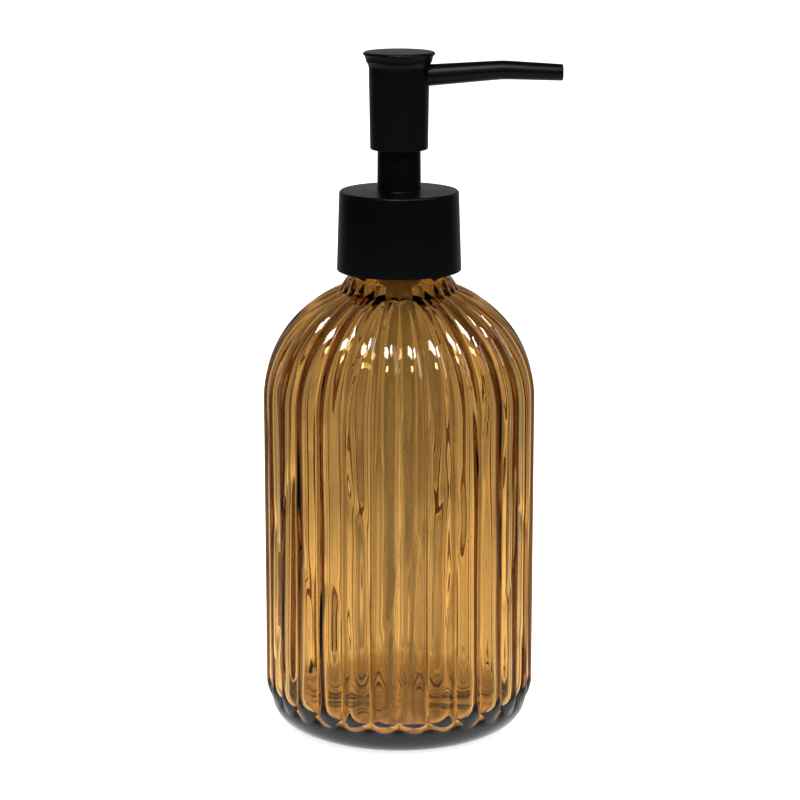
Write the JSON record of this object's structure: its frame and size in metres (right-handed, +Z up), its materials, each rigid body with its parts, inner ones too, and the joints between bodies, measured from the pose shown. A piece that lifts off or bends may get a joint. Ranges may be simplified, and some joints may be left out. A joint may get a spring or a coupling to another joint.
{
  "type": "soap pump dispenser",
  "caption": "Ribbed amber glass bottle with a screw-on lotion pump: the head presses down on a sprung stem and swivels with its long spout.",
  "frame": {"origin": "centre of the bottle's flat base, on the surface it stands on", "axes": "+Z up along the bottle's axis, +X towards the spout's tip"},
  "size_m": [0.0798, 0.073, 0.1843],
  "materials": {
    "amber_glass": "clear amber, polished",
    "black_plastic": "satin black moulded",
    "natural_plastic": "natural translucent polypropylene",
    "soft_plastic": "natural translucent polyethylene",
    "foam": "white closed-cell foam washer",
    "spring_steel": "bright drawn stainless wire",
    "ball_steel": "polished stainless ball"
  },
  "bodies": {
    "bottle": {"bottle": "amber_glass"},
    "pump_unit": {"pump_housing": "natural_plastic", "dip_tube": "soft_plastic", "chaplet": "black_plastic", "stem_seal": "soft_plastic", "neck_gasket": "foam", "spring_seat": "natural_plastic", "return_spring": "spring_steel"},
    "closure": {"screw_cap": "black_plastic", "collar_cover": "black_plastic"},
    "plunger": {"piston_rod": "natural_plastic"},
    "head": {"stem": "natural_plastic", "head_core": "black_plastic", "head_shell": "black_plastic", "top_cap": "black_plastic", "spout": "black_plastic"},
    "piston": {"piston": "soft_plastic"},
    "inlet_ball": {"inlet_ball": "ball_steel"}
  },
  "joints": [
    {"name": "closure_rise", "type": "slide", "parent": "bottle", "child": "pump_unit", "axis": [0, 0, 1], "range_m": [0, 0.00634]},
    {"name": "closure_turn", "type": "hinge", "parent": "pump_unit", "child": "closure", "pos_m": [0, 0, 0.135], "axis": [0, 0, 1], "range_deg": [0, 540]},
    {"name": "head_press", "type": "slide", "parent": "pump_unit", "child": "plunger", "axis": [0, 0, -1], "range_m": [0, 0.0105], "stiffness_N_per_m": 500, "springref_m": -0.015, "deforming": ["return_spring"]},
    {"name": "head_swivel", "type": "hinge", "parent": "plunger", "child": "head", "pos_m": [0, 0, 0.16], "axis": [0, 0, 1], "continuous": true},
    {"name": "piston_slide", "type": "slide", "parent": "pump_unit", "child": "piston", "axis": [0, 0, -1], "range_m": [0, 0.0093]},
    {"name": "inlet_ball_lift", "type": "slide", "parent": "pump_unit", "child": "inlet_ball", "axis": [0, 0, 1], "range_m": [0, 0.0012]}
  ],
  "couplings": [
    {"joint": "closure_turn", "follows": "closure_rise", "rad_per_m": 1484.3},
    {"joint": "piston_slide", "follows": "head_press", "ratio": 0.88571}
  ]
}
